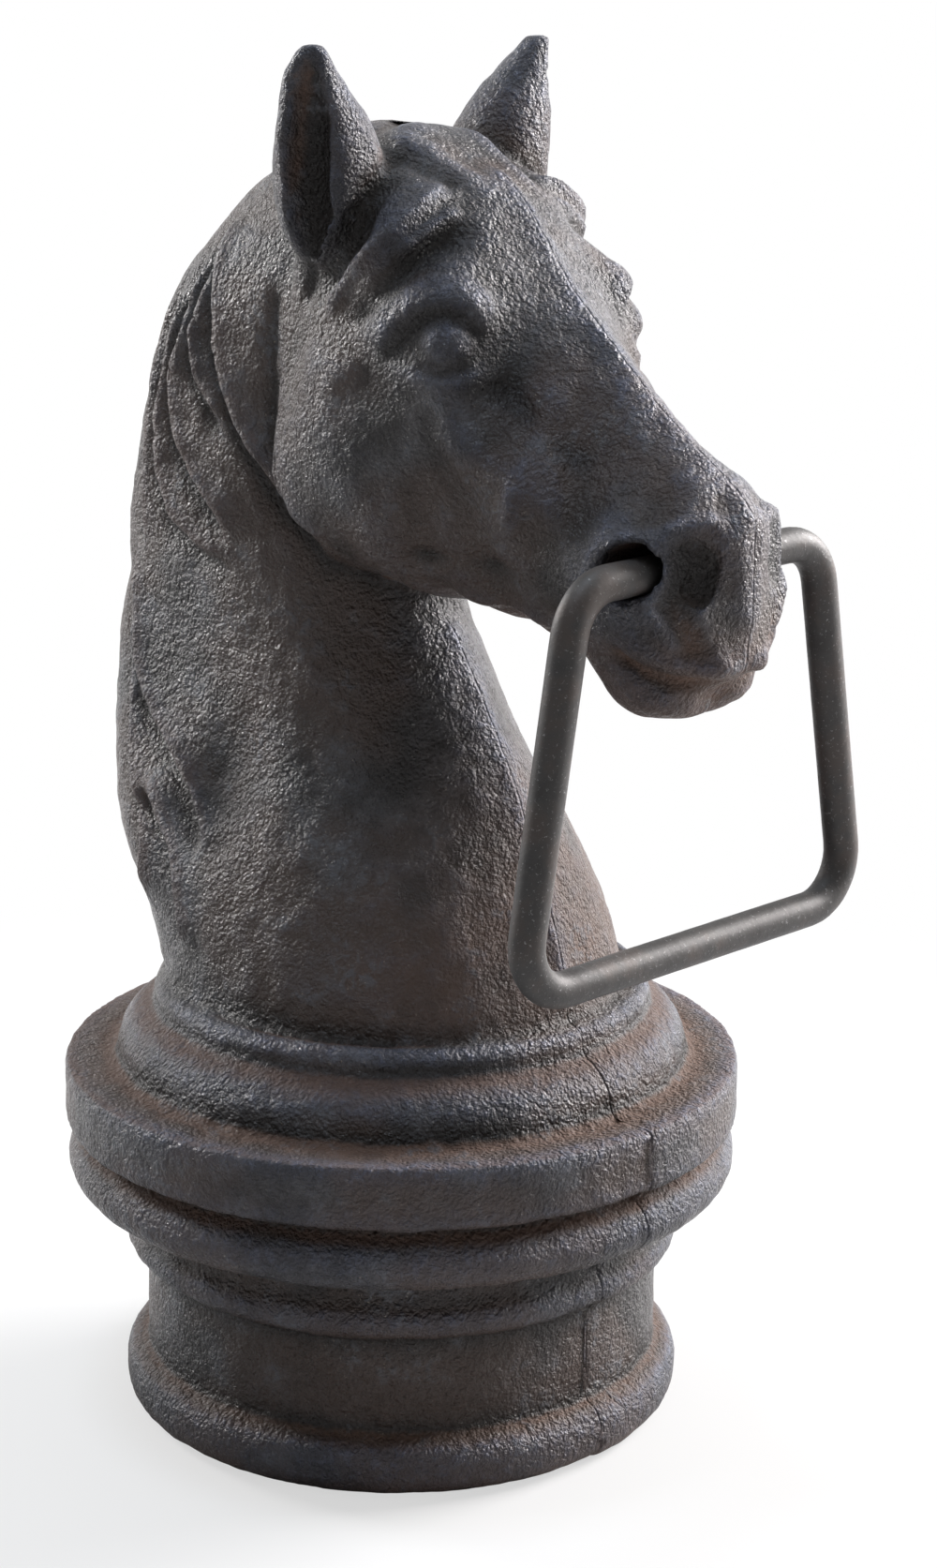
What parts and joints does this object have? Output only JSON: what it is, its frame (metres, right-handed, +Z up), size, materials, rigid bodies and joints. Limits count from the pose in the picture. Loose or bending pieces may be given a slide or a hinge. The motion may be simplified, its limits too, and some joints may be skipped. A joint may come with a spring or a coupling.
{
  "type": "hitching post top",
  "caption": "Cast iron hitching post top: a horse's head on a moulded round socket base, with a swinging bail through the muzzle to tie a rope to.",
  "frame": {"origin": "middle of the foot's circle, on the plane that the foot stands on", "axes": "+Z up along the socket's axis, +X where the horse faces, +Y the horse's left side"},
  "size_m": [0.2147, 0.18, 0.3605],
  "materials": {
    "rusty_cast_iron": "rough sand-cast skin, near black, with brown rust in the hollows",
    "worn_steel_bar": "smooth worn bar, dark, with bright rubbed edges",
    "fastener_steel": "dull and lightly rusted"
  },
  "bodies": {
    "post_top": {"right_half_casting": "rusty_cast_iron", "left_half_casting": "rusty_cast_iron", "crest_locating_pin": "fastener_steel", "muzzle_locating_pin": "fastener_steel", "front_tie_bolt": "fastener_steel", "front_tie_nut": "fastener_steel", "front_head_washer": "fastener_steel", "front_nut_washer": "fastener_steel", "rear_tie_bolt": "fastener_steel", "rear_tie_nut": "fastener_steel", "rear_head_washer": "fastener_steel", "rear_nut_washer": "fastener_steel"},
    "bail": {"bail": "worn_steel_bar"}
  },
  "joints": [
    {"name": "bail_swing", "type": "hinge", "parent": "post_top", "child": "bail", "pos_m": [0.1008, 0, 0.243], "axis": [0, -1, 0], "range_deg": [-30, 212]}
  ]
}
